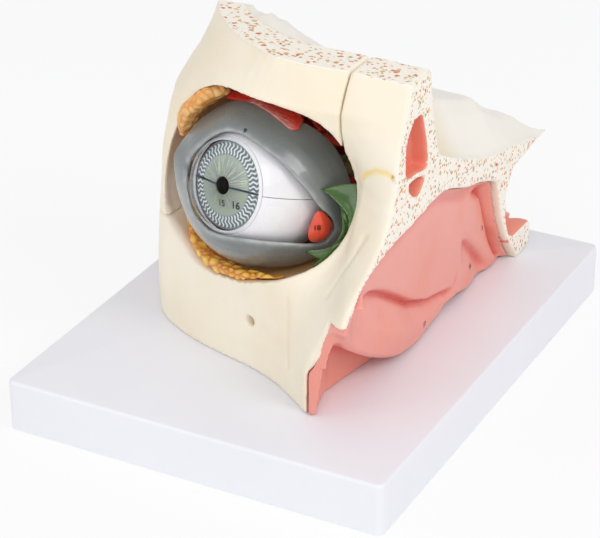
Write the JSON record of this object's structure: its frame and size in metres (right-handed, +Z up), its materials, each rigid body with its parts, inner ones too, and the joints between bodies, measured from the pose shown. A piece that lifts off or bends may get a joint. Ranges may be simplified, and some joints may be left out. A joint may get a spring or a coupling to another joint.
{
  "type": "eye anatomy model",
  "caption": "Classroom model of the eye in its bony orbit on a board: roof lifts off, eye lifts out and comes apart in coats, lens, clear body, cornea and lids.",
  "frame": {"origin": "centre of the underside of the board", "axes": "+Z up, -Y the front where the face of the model looks, +X the side of the nose with the flat midline cut"},
  "size_m": [0.25, 0.33, 0.222],
  "materials": {
    "board_white": "smooth white moulded plastic, satin",
    "bone": "cast plastic painted cream, satin",
    "mucosa": "painted pink, satin gloss",
    "fat": "painted yellow and orange, glossy",
    "sac_green": "painted green, glossy",
    "gland": "painted pale orange, glossy",
    "sclera": "white, glossy",
    "muscle": "painted red, glossy",
    "nerve": "painted pale yellow",
    "choroid": "painted dark reddish brown",
    "iris": "grey green, painted fibres",
    "clear": "clear plastic",
    "lid_grey": "dark grey, satin gloss",
    "caruncle_red": "painted red, glossy",
    "steel": "steel"
  },
  "bodies": {
    "base": {"base_board": "board_white", "board_screw_1": "steel", "board_screw_2": "steel", "board_screw_3": "steel", "skull_block": "bone", "nasal_wall": "mucosa", "frontal_sinus": "mucosa", "sphenoid_sinus": "mucosa", "orbital_fat": "fat", "lacrimal_sac": "sac_green", "roof_peg_front": "steel", "roof_peg_back": "steel"},
    "roof": {"orbit_roof": "bone", "lacrimal_gland": "gland"},
    "eye_lower": {"sclera_lower": "sclera", "optic_nerve": "nerve", "medial_rectus": "muscle", "lateral_rectus": "muscle", "inferior_rectus": "muscle", "inferior_oblique": "muscle"},
    "choroid_low": {"choroid_lower": "choroid", "iris_lower": "iris"},
    "vitreous": {"vitreous_body": "clear"},
    "lens_part": {"lens": "clear"},
    "choroid_top": {"choroid_upper": "choroid", "iris_upper": "iris"},
    "eye_upper": {"sclera_upper": "sclera", "superior_rectus": "muscle", "levator": "muscle", "superior_oblique": "muscle"},
    "cornea_part": {"cornea": "clear"},
    "eyelids": {"eyelid_plate": "lid_grey", "caruncle": "caruncle_red"}
  },
  "joints": [
    {"name": "roof_lift", "type": "slide", "parent": "base", "child": "roof", "axis": [0, 0, 1], "range_m": [0, 0.2]},
    {"name": "eye_lift", "type": "slide", "parent": "base", "child": "eye_lower", "axis": [0, 0, 1], "range_m": [0, 0.0701]},
    {"name": "choroid_low_lift", "type": "slide", "parent": "eye_lower", "child": "choroid_low", "axis": [0, 0.289, 0.9573], "range_m": [0, 0.0161]},
    {"name": "vitreous_lift", "type": "slide", "parent": "eye_lower", "child": "vitreous", "axis": [0, 0.289, 0.9573], "range_m": [0, 0.0321]},
    {"name": "lens_out", "type": "slide", "parent": "vitreous", "child": "lens_part", "axis": [-0.2689, -0.9221, 0.2784], "range_m": [0, 0.0113]},
    {"name": "choroid_top_lift", "type": "slide", "parent": "eye_lower", "child": "choroid_top", "axis": [0, 0.289, 0.9573], "range_m": [0, 0.0481]},
    {"name": "eye_upper_lift", "type": "slide", "parent": "eye_lower", "child": "eye_upper", "axis": [0, 0.289, 0.9573], "range_m": [0, 0.0641]},
    {"name": "cornea_off", "type": "slide", "parent": "eye_lower", "child": "cornea_part", "axis": [-0.2132, -0.5546, 0.8043], "range_m": [0, 0.05258]},
    {"name": "eyelids_off", "type": "slide", "parent": "base", "child": "eyelids", "axis": [-0.1618, -0.4916, 0.8557], "range_m": [0, 0.14634]}
  ],
  "couplings": [
    {"joint": "eye_lift", "follows": "roof_lift", "ratio": 0.35},
    {"joint": "choroid_low_lift", "follows": "roof_lift", "ratio": 0.08},
    {"joint": "vitreous_lift", "follows": "roof_lift", "ratio": 0.16},
    {"joint": "lens_out", "follows": "roof_lift", "ratio": 0.056},
    {"joint": "choroid_top_lift", "follows": "roof_lift", "ratio": 0.24},
    {"joint": "eye_upper_lift", "follows": "roof_lift", "ratio": 0.32},
    {"joint": "cornea_off", "follows": "roof_lift", "ratio": 0.26242},
    {"joint": "eyelids_off", "follows": "roof_lift", "ratio": 0.73121}
  ]
}
